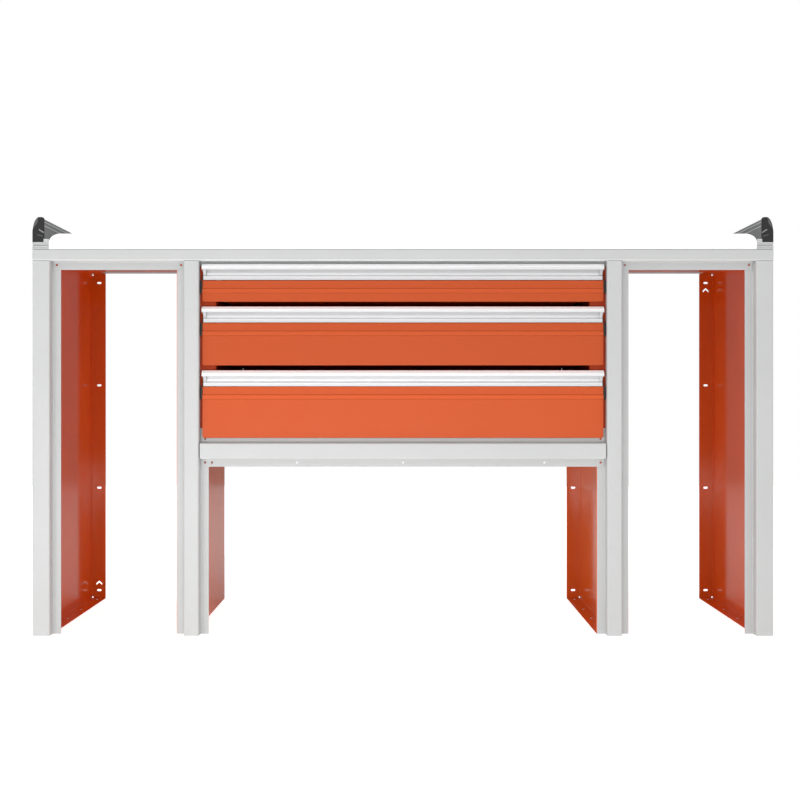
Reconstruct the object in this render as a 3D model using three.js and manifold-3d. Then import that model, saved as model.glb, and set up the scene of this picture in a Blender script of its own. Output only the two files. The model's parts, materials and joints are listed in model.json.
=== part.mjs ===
// A steel workbench: a unit of three drawers over a knee space, an open bay on each side of it,
// and a worktop with a rail along each end.
// Millimetres. +X runs along the bench, -Y is its front and +Z is up.
// The origin is on the floor, under the middle of the bench.
import * as THREE from "three";
import { mergeVertices } from "three/addons/utils/BufferGeometryUtils.js";
import Module from "manifold-3d";

const wasm = await Module();
wasm.setup();

// ---------------------------------------------------------------- driving dimensions

const LENGTH = 1705;
const DEPTH = 460;
const SHEET = 1.5; // thickness of every folded sheet
const BEND = 2; // inside radius of the bends
const GAP = 0.3; // clearance between pieces that touch
const CUT = 5; // how far a cutting tool runs past the piece it cuts

// Heights above the floor.
const PANEL_TOP = 888;
const WORKTOP_BOTTOM = 890.4;
const WORKTOP_THICKNESS = 35;

// Posts and beams are hat sections: a face, two returns and two flanges behind the face.
const FLANGE = 19;
const BEAM_FLANGE_DEPTH = 20; // from the face back to the flanges of the beams
const POST_FLANGE_DEPTH = BEAM_FLANGE_DEPTH + SHEET + GAP;
const OUTER_POST_FACE = 40;
const INNER_POST_FACE = 35;
const INNER_POST_X = 487.2; // middle of the post
const OUTER_POST_WRAP = 45; // how far the outer posts reach back along the side panels
const TOP_BEAM_FACE = 26.6;
const LOWER_BEAM_FACE = 36.2;
const LOWER_BEAM_TOP = 443.4;
const LOWER_BEAM_UPPER_FLANGE = 13; // short, so that the lowest drawer runs over it

// Side panels: shallow trays with a flange on all four sides.
const PANEL_FLANGE = 38.5;
const FLANGE_SLIT = 0.5; // from an end flange to the front and back flanges
const CORNER_RELIEF = 4; // diameter of the hole at each corner of the front and back flanges
const SLOT_LENGTH = 12;
const SLOT_HEIGHT = 5.5;
const SLOT_FIRST = 22.5; // height of the lowest slot
const SLOT_PITCH = 280.2;
const SLOT_COUNT = 4;
const FLANGE_HOLE = 5.5; // diameter of the holes in the top and bottom flanges
const FLANGE_HOLE_SHARES = [0.41, 0.65, 0.95]; // of the depth of the bench, from its front
const CHEVRON_OFFSET = 20; // from the slot next to it

// Drawers, counted from the top.
const DRAWER_FRONT_LENGTH = 926.4;
const DRAWER_SHEET_HEIGHTS = [49.4, 98.5, 119];
const LOWEST_DRAWER_BOTTOM = 455;
const DRAWER_GAP = 11.8; // between one drawer and the next
const HANDLE_HEIGHT = 37;
const FRONT_SETBACK = 11.5; // the drawer sheets lie this far behind the faces of the posts
const FRONT_RETURN = 5; // depth of the drawer sheets
const BOX_LENGTH = 823;
const BOX_DEPTH = 400;
const BOX_LIFT = SHEET + GAP; // a box stands on the lower return of its front
const BOX_RISE = 3.5; // top of a box above the drawer sheet
const BOX_HOLE = 10; // holes in the bottom of a box, near its front
const BOX_HOLE_XS = [-377, 0, 377];
const BOX_HOLE_BACK = 22; // from the front of the box
const RUNNER_LENGTH = 400;
const RUNNER_HEIGHT = 45;
const RUNNER_WIDTH = 20.5;
const RUNNER_BELOW_BOX_TOP = 23.3; // middle of the runner

// ---------------------------------------------------------------- derived places

const FRONT = -DEPTH / 2;
const BACK = DEPTH / 2;
const END = LENGTH / 2;
const PANEL_FRONT = FRONT + POST_FLANGE_DEPTH + SHEET + GAP;
const OUTER_PANEL_X = END - SHEET - GAP;
const OUTER_POST_INSIDE = END - OUTER_POST_FACE;
const TOP_BEAM_TOP = WORKTOP_BOTTOM - GAP;
const TOP_BEAM_BOTTOM = TOP_BEAM_TOP - TOP_BEAM_FACE;
const LOWER_BEAM_BOTTOM = LOWER_BEAM_TOP - LOWER_BEAM_FACE;
const UNIT_HALF = INNER_POST_X - INNER_POST_FACE / 2 - GAP; // half of the way between the inner posts
const FRONT_BEAM_HALF = UNIT_HALF - BEND; // the lower front beam ends at the bends of the posts
const REAR_BEAM_HALF = INNER_POST_X - SHEET / 2 - BEND - GAP; // it ends at the bends of the side panels
const REAR_BEAM_Y = BACK - SHEET - GAP; // its face lies against the flange of a side panel
const DRAWER_SHEET_Y = FRONT + FRONT_SETBACK;
const BOX_FRONT = DRAWER_SHEET_Y + FRONT_RETURN + GAP;
const WALL_FLANGE_Y = BOX_FRONT; // the drawer unit's walls start level with the boxes
const WALL_X = BOX_LENGTH / 2 + RUNNER_WIDTH + GAP; // inside face of the drawer unit's walls

// ---------------------------------------------------------------- materials

function paint(colour, roughness, metalness) {
  return new THREE.MeshStandardMaterial({ color: colour, roughness, metalness });
}

const lightGreyPaint = paint(0xd9dad9, 0.45, 0.1);
const panelOrangePaint = paint(0xb8431f, 0.25, 0.05);
const drawerOrangePaint = paint(0xdc6038, 0.4, 0.05);
const whiteLaminate = paint(0xf7f7f6, 0.5, 0);
const handleAluminium = paint(0xdfdfe1, 0.35, 0.8);
const railAluminium = paint(0x8f9190, 0.4, 0.8);
const blackPlastic = paint(0x333434, 0.55, 0);
const greyPlastic = paint(0xd4d5d6, 0.5, 0);
const zincSteel = paint(0xa9acae, 0.35, 0.9);

// ---------------------------------------------------------------- solids

// A closed geometry as a solid that can be joined and cut.
function solidOf(geometry) {
  const bare = geometry.clone();
  bare.deleteAttribute("normal");
  bare.deleteAttribute("uv");
  const merged = mergeVertices(bare, 1e-3);
  return new wasm.Manifold(
    new wasm.Mesh({
      numProp: 3,
      vertProperties: merged.attributes.position.array,
      triVerts: new Uint32Array(merged.index.array),
    }),
  );
}

function geometryOf(solid) {
  const { vertProperties, triVerts } = solid.getMesh();
  const geometry = new THREE.BufferGeometry();
  geometry.setAttribute("position", new THREE.BufferAttribute(vertProperties, 3));
  geometry.setIndex(new THREE.BufferAttribute(triVerts, 1));
  geometry.computeVertexNormals();
  return geometry;
}

function joined(...geometries) {
  return geometryOf(geometries.map(solidOf).reduce((sum, next) => sum.add(next)));
}

function cutBy(geometry, tools) {
  return geometryOf(tools.map(solidOf).reduce((rest, tool) => rest.subtract(tool), solidOf(geometry)));
}

const X_AXIS = new THREE.Vector3(1, 0, 0);
const Y_AXIS = new THREE.Vector3(0, 1, 0);
const Z_AXIS = new THREE.Vector3(0, 0, 1);

function extruded(shape, depth) {
  return new THREE.ExtrudeGeometry(shape, { depth, bevelEnabled: false, curveSegments: 6 });
}

// An outline drawn in plan, as (x, y), raised from one height to another.
function alongZ(shape, from, to) {
  return extruded(shape, to - from).translate(0, 0, from);
}

// An outline drawn from the end of the bench, as (y, z), run along X.
function alongX(shape, from, to) {
  const turn = new THREE.Matrix4().makeBasis(Y_AXIS, Z_AXIS, X_AXIS);
  return extruded(shape, to - from).applyMatrix4(turn).translate(from, 0, 0);
}

// An outline drawn from the front, as (x, z), run along Y.
function alongY(shape, from, to) {
  const turn = new THREE.Matrix4().makeBasis(X_AXIS, Z_AXIS, Y_AXIS.clone().negate());
  return extruded(shape, to - from).applyMatrix4(turn).translate(0, to, 0);
}

// A box from its lowest and highest x, y and z.
function block([x0, x1], [y0, y1], [z0, z1]) {
  const geometry = new THREE.BoxGeometry(x1 - x0, y1 - y0, z1 - z0);
  return geometry.translate((x0 + x1) / 2, (y0 + y1) / 2, (z0 + z1) / 2);
}

// The outline of a folded sheet. The path runs along the middle of the sheet, and each of its
// corners is a round bend.
function foldedSheet(path, { thickness = SHEET, bend = BEND, steps = 4 } = {}) {
  const points = path.map(([x, y]) => new THREE.Vector2(x, y));
  const middleRadius = bend + thickness / 2;
  const left = [];
  const right = [];
  const leftNormal = (direction) => new THREE.Vector2(-direction.y, direction.x);
  const addPair = (centre, towardsLeft, radiusLeft, radiusRight) => {
    left.push(centre.clone().addScaledVector(towardsLeft, radiusLeft));
    right.push(centre.clone().addScaledVector(towardsLeft, radiusRight));
  };
  points.forEach((point, i) => {
    const arriving = i > 0 ? point.clone().sub(points[i - 1]).normalize() : null;
    const leaving = i < points.length - 1 ? points[i + 1].clone().sub(point).normalize() : null;
    if (!arriving || !leaving) {
      addPair(point, leftNormal(arriving || leaving), thickness / 2, -thickness / 2);
      return;
    }
    const turn = Math.atan2(arriving.cross(leaving), arriving.dot(leaving));
    const hand = Math.sign(turn);
    const tangent = middleRadius * Math.tan(Math.abs(turn) / 2);
    const toCentre = leftNormal(arriving).multiplyScalar(hand);
    const centre = point.clone().addScaledVector(arriving, -tangent).addScaledVector(toCentre, middleRadius);
    for (let k = 0; k <= steps; k += 1) {
      const spoke = toCentre.clone().negate().rotateAround(new THREE.Vector2(), (turn * k) / steps);
      const outwards = thickness / 2;
      addPair(centre, spoke, middleRadius - hand * outwards, middleRadius + hand * outwards);
    }
  });
  return new THREE.Shape([...left, ...right.reverse()]);
}

// A slot with round ends, or a round hole where length equals height, centred on (x, y).
function slotShape(x, y, length, height) {
  const radius = height / 2;
  const reach = (length - height) / 2;
  const shape = new THREE.Shape();
  shape.absarc(x + reach, y, radius, -Math.PI / 2, Math.PI / 2);
  shape.absarc(x - reach, y, radius, Math.PI / 2, (3 * Math.PI) / 2);
  return shape;
}

function roundHole(x, y, diameter) {
  return new THREE.Shape().absarc(x, y, diameter / 2, 0, 2 * Math.PI);
}

// ---------------------------------------------------------------- the bench as a group

const bench = new THREE.Group();

function addPiece(name, geometry, material, { x = 0, y = 0, z = 0, mirrorX = false } = {}) {
  const mesh = new THREE.Mesh(geometry, material);
  mesh.name = name;
  mesh.position.set(x, y, z);
  if (mirrorX) mesh.scale.x = -1;
  bench.add(mesh);
}

// Adds a piece drawn for the left end and its mirror image for the right end.
function addPair(name, geometry, material) {
  addPiece(`${name}_left`, geometry, material);
  addPiece(`${name}_right`, geometry, material, { mirrorX: true });
}

// ---------------------------------------------------------------- side panels

// An upward-pointing chevron, centred on (x, z).
function chevronShape(x, z) {
  const halfSpan = 8;
  const rise = 7;
  const stroke = 5;
  return new THREE.Shape(
    [
      [-halfSpan, -rise / 2 - stroke / 2],
      [0, rise / 2 - stroke / 2],
      [halfSpan, -rise / 2 - stroke / 2],
      [halfSpan, -rise / 2 + stroke / 2],
      [0, rise / 2 + stroke / 2],
      [-halfSpan, -rise / 2 + stroke / 2],
    ].map(([dx, dz]) => new THREE.Vector2(x + dx, z + dz)),
  );
}

// Round holes through the front and back flanges, one at each corner of a side panel.
function cornerReliefs() {
  const fromCorner = SHEET + CORNER_RELIEF / 2;
  const reach = SHEET + BEND + CUT;
  return [fromCorner, PANEL_TOP - fromCorner].flatMap((height) => {
    const hole = roundHole(fromCorner, height, CORNER_RELIEF);
    return [alongY(hole, PANEL_FRONT - CUT, PANEL_FRONT + reach), alongY(hole, BACK - reach, BACK + CUT)];
  });
}

// The outside of the web is at x = 0 and the flanges point to +x.
function sidePanel(chevronHeight) {
  const half = SHEET / 2;
  const frontMiddle = PANEL_FRONT + half;
  const backMiddle = BACK - half;
  const upright = foldedSheet([
    [PANEL_FLANGE, frontMiddle],
    [half, frontMiddle],
    [half, backMiddle],
    [PANEL_FLANGE, backMiddle],
  ]);
  const webOverlap = 3 * PANEL_FLANGE; // the end flanges are joined to the web along this much of it
  const endFlange = (tip, outside, inwards) =>
    alongY(
      foldedSheet([
        [PANEL_FLANGE, outside + inwards * half],
        [half, outside + inwards * half],
        [half, tip],
      ]),
      PANEL_FRONT + SHEET + FLANGE_SLIT,
      BACK - SHEET - FLANGE_SLIT,
    );
  const tray = joined(
    alongZ(upright, 0, PANEL_TOP),
    endFlange(webOverlap, 0, 1),
    endFlange(PANEL_TOP - webOverlap, PANEL_TOP, -1),
  );
  const flangeMiddle = (PANEL_FLANGE + SHEET + BEND) / 2;
  const throughBack = (shape) => alongY(shape, BACK - SHEET - CUT, BACK + CUT);
  const slots = Array.from({ length: SLOT_COUNT }, (_, i) =>
    throughBack(slotShape(flangeMiddle, SLOT_FIRST + i * SLOT_PITCH, SLOT_LENGTH, SLOT_HEIGHT)),
  );
  const chevron = throughBack(chevronShape(flangeMiddle, chevronHeight));
  const endFlangeHoles = FLANGE_HOLE_SHARES.flatMap((share) => {
    const hole = roundHole(flangeMiddle, FRONT + share * DEPTH, FLANGE_HOLE);
    return [alongZ(hole, -CUT, SHEET + CUT), alongZ(hole, PANEL_TOP - SHEET - CUT, PANEL_TOP + CUT)];
  });
  return cutBy(tray, [...slots, chevron, ...endFlangeHoles, ...cornerReliefs()]);
}

function addSidePanels() {
  const lowestSlot = SLOT_FIRST;
  const highestSlot = SLOT_FIRST + (SLOT_COUNT - 1) * SLOT_PITCH;
  const leftHand = sidePanel(lowestSlot + CHEVRON_OFFSET);
  const rightHand = sidePanel(highestSlot - CHEVRON_OFFSET);
  addPiece("side_panel_outer_left", leftHand, panelOrangePaint, { x: -OUTER_PANEL_X });
  const rightHandPlaces = {
    side_panel_inner_left: -INNER_POST_X + SHEET / 2,
    side_panel_inner_right: INNER_POST_X + SHEET / 2,
    side_panel_outer_right: OUTER_PANEL_X,
  };
  for (const [name, x] of Object.entries(rightHandPlaces)) {
    addPiece(name, rightHand, panelOrangePaint, { x, mirrorX: true });
  }
}

// ---------------------------------------------------------------- posts and beams

const SCREW_HOLE = 5.5;
const TOP_SCREW_HEIGHT = 856;
const UPPER_SCREW_HEIGHT = 452.8;
const LOWER_SCREW_HEIGHT = 397.8;
const INNER_SCREW_X = 458.6;
const BAY_SCREW_OFFSET = 9.8; // from the edge of a post's face to the screw in its flange

function screwHole(x, z, depth) {
  return alongY(roundHole(x, z, SCREW_HOLE), FRONT + depth - CUT, FRONT + depth + CUT);
}

function outerPost() {
  const half = SHEET / 2;
  const outside = -END + half;
  const inside = -OUTER_POST_INSIDE - half;
  const flangeY = FRONT + POST_FLANGE_DEPTH + half;
  const section = foldedSheet([
    [outside, FRONT + OUTER_POST_WRAP],
    [outside, FRONT + half],
    [inside, FRONT + half],
    [inside, flangeY],
    [inside + half + FLANGE, flangeY],
  ]);
  const hole = screwHole(-OUTER_POST_INSIDE + BAY_SCREW_OFFSET, TOP_SCREW_HEIGHT, POST_FLANGE_DEPTH);
  return cutBy(alongZ(section, 0, TOP_BEAM_BOTTOM - GAP), [hole]);
}

function innerPost() {
  const half = SHEET / 2;
  const faceHalf = INNER_POST_FACE / 2 - half;
  const flangeY = FRONT + POST_FLANGE_DEPTH + half;
  const middle = -INNER_POST_X;
  const section = foldedSheet([
    [middle - faceHalf - half - FLANGE, flangeY],
    [middle - faceHalf, flangeY],
    [middle - faceHalf, FRONT + half],
    [middle + faceHalf, FRONT + half],
    [middle + faceHalf, flangeY],
    [middle + faceHalf + half + FLANGE, flangeY],
  ]);
  const baySideX = middle - INNER_POST_FACE / 2 - BAY_SCREW_OFFSET;
  const holes = [
    screwHole(baySideX, TOP_SCREW_HEIGHT, POST_FLANGE_DEPTH),
    screwHole(-INNER_SCREW_X, UPPER_SCREW_HEIGHT, POST_FLANGE_DEPTH),
    screwHole(-INNER_SCREW_X, LOWER_SCREW_HEIGHT, POST_FLANGE_DEPTH),
  ];
  return cutBy(alongZ(section, 0, TOP_BEAM_BOTTOM - GAP), holes);
}

// The top beam runs over the posts, so its flange is cut away where a post stands.
function topBeam() {
  const half = SHEET / 2;
  const flangeY = FRONT + BEAM_FLANGE_DEPTH + half;
  const section = foldedSheet([
    [FRONT + BEAM_FLANGE_DEPTH, TOP_BEAM_TOP - half],
    [FRONT + half, TOP_BEAM_TOP - half],
    [FRONT + half, TOP_BEAM_BOTTOM + half],
    [flangeY, TOP_BEAM_BOTTOM + half],
    [flangeY, TOP_BEAM_BOTTOM - FLANGE],
  ]);
  const notch = (from, to) =>
    block(
      [from - BEND - GAP, to + BEND + GAP],
      [FRONT - CUT, FRONT + BEAM_FLANGE_DEPTH + CUT],
      [TOP_BEAM_BOTTOM - FLANGE - CUT, TOP_BEAM_BOTTOM],
    );
  const innerInside = INNER_POST_X - INNER_POST_FACE / 2;
  const innerOutside = INNER_POST_X + INNER_POST_FACE / 2;
  const notches = [
    notch(-END - CUT, -OUTER_POST_INSIDE),
    notch(-innerOutside, -innerInside),
    notch(innerInside, innerOutside),
    notch(OUTER_POST_INSIDE, END + CUT),
  ];
  const screwXs = [OUTER_POST_INSIDE - BAY_SCREW_OFFSET, innerOutside + BAY_SCREW_OFFSET];
  const holes = [-1, 1].flatMap((side) =>
    screwXs.map((x) => screwHole(side * x, TOP_SCREW_HEIGHT, BEAM_FLANGE_DEPTH)),
  );
  return cutBy(alongX(section, -END, END), [...notches, ...holes]);
}

// A whole hat section with its face at FRONT.
function lowerBeam(halfLength, holes) {
  const half = SHEET / 2;
  const flangeY = FRONT + BEAM_FLANGE_DEPTH + half;
  const section = foldedSheet([
    [flangeY, LOWER_BEAM_TOP + LOWER_BEAM_UPPER_FLANGE],
    [flangeY, LOWER_BEAM_TOP - half],
    [FRONT + half, LOWER_BEAM_TOP - half],
    [FRONT + half, LOWER_BEAM_BOTTOM + half],
    [flangeY, LOWER_BEAM_BOTTOM + half],
    [flangeY, LOWER_BEAM_BOTTOM - FLANGE],
  ]);
  return cutBy(alongX(section, -halfLength, halfLength), holes);
}

function addPostsAndBeams() {
  addPair("post_outer", outerPost(), lightGreyPaint);
  addPair("post_inner", innerPost(), lightGreyPaint);
  addPiece("top_front_beam", topBeam(), lightGreyPaint);
  const endHoles = [-INNER_SCREW_X, INNER_SCREW_X].flatMap((x) => [
    screwHole(x, UPPER_SCREW_HEIGHT, BEAM_FLANGE_DEPTH),
    screwHole(x, LOWER_SCREW_HEIGHT, BEAM_FLANGE_DEPTH),
  ]);
  const spareHoleXs = [-442.7, -245.7, 0, 328.4]; // open holes along the lower flange
  const spareHoles = spareHoleXs.map((x) => screwHole(x, LOWER_SCREW_HEIGHT, BEAM_FLANGE_DEPTH));
  const frontBeam = lowerBeam(FRONT_BEAM_HALF, [...endHoles, ...spareHoles]);
  addPiece("lower_front_beam", frontBeam, lightGreyPaint);
  const rearBeam = lowerBeam(REAR_BEAM_HALF, endHoles).rotateZ(Math.PI);
  addPiece("lower_rear_beam", rearBeam, lightGreyPaint, { y: REAR_BEAM_Y - BACK });
}

// ---------------------------------------------------------------- worktop and what carries it

const REAR_ANGLE_LEG = 40;
const REAR_ANGLE_RISE = 26;
const WORKTOP_HALF = 814.4;
const WORKTOP_CORNER_WIDTH = 27;
const WORKTOP_CORNER_HEIGHT = 20;
const BASE_HEIGHT = 15.5;
const BASE_LEDGE_HEIGHT = 23;

function supportPan() {
  return block(
    [-OUTER_PANEL_X, OUTER_PANEL_X],
    [FRONT + BEAM_FLANGE_DEPTH + 2 * GAP, BACK - REAR_ANGLE_LEG - GAP],
    [PANEL_TOP + GAP, PANEL_TOP + GAP + SHEET],
  );
}

// An angle under and behind the rear edge of the worktop.
function rearAngle() {
  const half = SHEET / 2;
  const section = foldedSheet([
    [BACK - REAR_ANGLE_LEG, PANEL_TOP + GAP + half],
    [BACK - half, PANEL_TOP + GAP + half],
    [BACK - half, WORKTOP_BOTTOM + REAR_ANGLE_RISE],
  ]);
  return alongX(section, -WORKTOP_HALF, WORKTOP_HALF);
}

function worktop() {
  const top = WORKTOP_BOTTOM + WORKTOP_THICKNESS;
  const cornerX = WORKTOP_HALF - WORKTOP_CORNER_WIDTH;
  const cornerZ = top - WORKTOP_CORNER_HEIGHT;
  const outline = new THREE.Shape();
  outline.moveTo(-WORKTOP_HALF, WORKTOP_BOTTOM);
  outline.lineTo(WORKTOP_HALF, WORKTOP_BOTTOM);
  outline.lineTo(WORKTOP_HALF, cornerZ);
  outline.absellipse(cornerX, cornerZ, WORKTOP_CORNER_WIDTH, WORKTOP_CORNER_HEIGHT, 0, Math.PI / 2);
  outline.absellipse(-cornerX, cornerZ, WORKTOP_CORNER_WIDTH, WORKTOP_CORNER_HEIGHT, Math.PI / 2, Math.PI);
  return alongY(outline, FRONT, BACK - SHEET - BEND - GAP);
}

// ---------------------------------------------------------------- end rails

const CAP_WIDTH = 26.8;
const CAP_TOP = 73.4; // above the underside of the worktop
const CAP_SHOULDER = 40; // where its outer side starts to lean in
const CAP_CROWN = 14.5; // how far the outer side leans in
const CAP_STEP = 3; // the foot of the cap is narrower than its body by this much
const CAP_PLATE = 4;
const CAP_PLUG = 14;
const RAIL_WALL = 2.5;
const RAIL_INSET = 0.8; // the rail is smaller than its caps by this much
const RAIL_TOP_INSET = 3; // and lower at the top by this much
const RAIL_RIDGE_HEIGHTS = [52, 61]; // two ribs along its inner side, above the underside of the worktop
const RIDGE_RISE = 0.8;
const RIDGE_WIDTH = 3.2;

// The outline of an end cap, seen from the front of the left end.
function railOutline(inset, topInset, Kind = THREE.Shape) {
  const outside = -END + inset;
  const inside = -END + CAP_WIDTH - inset;
  const foot = WORKTOP_BOTTOM + BASE_HEIGHT + GAP + inset;
  const step = WORKTOP_BOTTOM + BASE_LEDGE_HEIGHT + GAP + inset;
  const shoulder = WORKTOP_BOTTOM + CAP_SHOULDER;
  const top = WORKTOP_BOTTOM + CAP_TOP - topInset;
  const lean = CAP_CROWN;
  const innerRound = 4;
  const outline = new Kind();
  outline.moveTo(outside, foot);
  outline.lineTo(inside - CAP_STEP, foot);
  outline.lineTo(inside - CAP_STEP, step);
  outline.lineTo(inside, step);
  outline.lineTo(inside, top - innerRound);
  outline.absarc(inside - innerRound, top - innerRound, innerRound, 0, Math.PI / 2);
  outline.absellipse(outside + lean, shoulder, lean, top - shoulder, Math.PI / 2, Math.PI);
  return outline;
}

function endRail() {
  const outline = railOutline(RAIL_INSET, RAIL_TOP_INSET);
  outline.holes.push(railOutline(RAIL_INSET + RAIL_WALL, RAIL_TOP_INSET + RAIL_WALL, THREE.Path));
  const tube = alongY(outline, FRONT + CAP_PLATE + GAP, BACK - CAP_PLATE - GAP);
  const face = -END + CAP_WIDTH - RAIL_INSET;
  const ridges = RAIL_RIDGE_HEIGHTS.map((height) =>
    block(
      [face - RAIL_WALL / 2, face + RIDGE_RISE],
      [FRONT + CAP_PLATE + GAP, BACK - CAP_PLATE - GAP],
      [WORKTOP_BOTTOM + height, WORKTOP_BOTTOM + height + RIDGE_WIDTH],
    ),
  );
  return joined(tube, ...ridges);
}

// A cap closes one end of a rail, and its plug reaches into the rail.
function endCap(plateFrom, plugTo) {
  const plateTo = plateFrom + Math.sign(plugTo - plateFrom) * CAP_PLATE;
  const plate = alongY(railOutline(0, 0), Math.min(plateFrom, plateTo), Math.max(plateFrom, plateTo));
  const plugInset = RAIL_WALL + 2 * GAP;
  const plugOutline = railOutline(RAIL_INSET + plugInset, RAIL_TOP_INSET + plugInset);
  const plug = alongY(plugOutline, Math.min(plateFrom, plugTo), Math.max(plateFrom, plugTo));
  return joined(plate, plug);
}

function endRailBase() {
  const outside = -END;
  const inside = -WORKTOP_HALF - GAP;
  const ledgeFrom = -END + CAP_WIDTH - CAP_STEP + GAP;
  const outline = new THREE.Shape(
    [
      [outside, WORKTOP_BOTTOM],
      [inside, WORKTOP_BOTTOM],
      [inside, WORKTOP_BOTTOM + BASE_LEDGE_HEIGHT],
      [ledgeFrom, WORKTOP_BOTTOM + BASE_LEDGE_HEIGHT],
      [ledgeFrom, WORKTOP_BOTTOM + BASE_HEIGHT],
      [outside, WORKTOP_BOTTOM + BASE_HEIGHT],
    ].map(([x, z]) => new THREE.Vector2(x, z)),
  );
  return alongY(outline, FRONT, BACK);
}

function addWorktopAndRails() {
  addPiece("worktop", worktop(), whiteLaminate);
  addPiece("worktop_support_pan", supportPan(), panelOrangePaint);
  addPiece("rear_edge_angle", rearAngle(), lightGreyPaint);
  addPair("end_rail_base", endRailBase(), lightGreyPaint);
  addPair("end_rail", endRail(), railAluminium);
  addPair("end_cap_front", endCap(FRONT, FRONT + CAP_PLUG), blackPlastic);
  addPair("end_cap_rear", endCap(BACK, BACK - CAP_PLUG), blackPlastic);
}

// ---------------------------------------------------------------- drawer unit

const WALL_BOTTOM = 478;
const WALL_TOP = 853;
const FLOOR_DROP = 2; // the floor of the unit lies this far under the lowest box
const UNIT_BACK = REAR_BEAM_Y - BEAM_FLANGE_DEPTH - SHEET - GAP; // it ends in front of the rear beam

// A wall of the drawer unit carries the runners, with a flange at its front and back.
function drawerUnitWall() {
  const half = SHEET / 2;
  const wallMiddle = -WALL_X - half;
  const flangeTip = -UNIT_HALF;
  const frontMiddle = WALL_FLANGE_Y + half;
  const backMiddle = UNIT_BACK - half;
  const section = foldedSheet([
    [flangeTip, frontMiddle],
    [wallMiddle, frontMiddle],
    [wallMiddle, backMiddle],
    [flangeTip, backMiddle],
  ]);
  const beamFlangeY = FRONT + BEAM_FLANGE_DEPTH;
  const slitForBeam = block(
    [-UNIT_HALF, -WALL_X + CUT],
    [beamFlangeY - GAP, beamFlangeY + SHEET + GAP],
    [TOP_BEAM_BOTTOM - FLANGE - GAP, WALL_TOP + CUT],
  );
  return cutBy(alongZ(section, WALL_BOTTOM, WALL_TOP), [slitForBeam]);
}

// A plain sheet between the walls closes the drawer unit at the back.
function drawerUnitBack() {
  const half = WALL_X - GAP;
  return block([-half, half], [UNIT_BACK - SHEET, UNIT_BACK], [WALL_BOTTOM, WALL_TOP]);
}

function drawerUnitFloor() {
  const half = INNER_SCREW_X - FLANGE / 2;
  const top = LOWEST_DRAWER_BOTTOM + BOX_LIFT - FLOOR_DROP;
  const front = FRONT + POST_FLANGE_DEPTH + SHEET + GAP;
  return block([-half, half], [front, UNIT_BACK], [top - SHEET, top]);
}

// ---------------------------------------------------------------- drawers

const BEAD_DROP = 24; // middle of the pressed bead below the top of the sheet
const BEAD_HEIGHT = 9;
const BEAD_RISE = 2;
const CORNER_ROUND = 5;
const HANDLE_SHEET = 2;
const HANDLE_END_LENGTH = 6.5;
const HANDLE_END_SETBACK = 2.6; // under its upper lip, the handle is shorter by this much at each end

// The painted sheet of a drawer front: a shallow pan with a bead pressed along it.
function drawerSheet(bottom, height) {
  const half = SHEET / 2;
  const top = bottom + height;
  const middleY = DRAWER_SHEET_Y + half;
  const innerY = DRAWER_SHEET_Y + FRONT_RETURN;
  const beadTop = top - BEAD_DROP + BEAD_HEIGHT / 2;
  const beadBottom = beadTop - BEAD_HEIGHT;
  const section = foldedSheet(
    [
      [innerY, bottom + half],
      [middleY, bottom + half],
      [middleY, beadBottom - BEAD_RISE / 2],
      [middleY - BEAD_RISE, beadBottom + BEAD_RISE / 2],
      [middleY - BEAD_RISE, beadTop - BEAD_RISE / 2],
      [middleY, beadTop + BEAD_RISE / 2],
      [middleY, top - half],
      [innerY, top - half],
    ],
    { bend: 0.5, steps: 3 },
  );
  const halfLength = DRAWER_FRONT_LENGTH / 2;
  const cheeks = [-halfLength, halfLength - SHEET].map((x) =>
    block([x, x + SHEET], [DRAWER_SHEET_Y, innerY], [bottom, top]),
  );
  const pan = solidOf(joined(alongX(section, -halfLength, halfLength), ...cheeks));
  const outline = new THREE.Shape();
  outline.moveTo(halfLength, top);
  outline.lineTo(-halfLength, top);
  outline.absarc(-halfLength + CORNER_ROUND, bottom + CORNER_ROUND, CORNER_ROUND, Math.PI, 1.5 * Math.PI);
  outline.absarc(halfLength - CORNER_ROUND, bottom + CORNER_ROUND, CORNER_ROUND, 1.5 * Math.PI, 2 * Math.PI);
  return geometryOf(pan.intersect(solidOf(alongY(outline, FRONT - CUT, innerY + CUT))));
}

// The section of the handle as (distance in front of the drawer sheet, height above it), from
// the low lip, up the back of the finger groove and over to the upper lip.
const HANDLE_LIP = 2;
const GROOVE_BACK = -3.2;
const GROOVE_FLOOR = 9.5;
const HANDLE_NOSE = 10.2;
const NOSE_TOP = 29.5;
const NOSE_BOTTOM = 22.9;
const HANDLE_PATH = [
  [HANDLE_LIP, GAP],
  [HANDLE_LIP, GROOVE_FLOOR],
  [GROOVE_BACK, GROOVE_FLOOR],
  [GROOVE_BACK, HANDLE_HEIGHT - HANDLE_SHEET / 2],
  [HANDLE_NOSE / 3, HANDLE_HEIGHT - HANDLE_SHEET / 2],
  [HANDLE_NOSE, NOSE_TOP],
  [HANDLE_NOSE, NOSE_BOTTOM],
];

function handle(bottom) {
  const path = HANDLE_PATH.map(([forward, up]) => [DRAWER_SHEET_Y - forward, bottom + up]);
  const section = foldedSheet(path, { thickness: HANDLE_SHEET, bend: 1, steps: 4 });
  const halfLength = DRAWER_FRONT_LENGTH / 2;
  const notches = [-1, 1].map((side) => {
    const cutX = [side * (halfLength - HANDLE_END_SETBACK), side * (halfLength + CUT)];
    return block(
      [Math.min(...cutX), Math.max(...cutX)],
      [FRONT - CUT, DRAWER_SHEET_Y + CUT],
      [bottom, bottom + NOSE_BOTTOM - HANDLE_SHEET],
    );
  });
  return cutBy(alongX(section, -halfLength, halfLength), notches);
}

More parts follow.
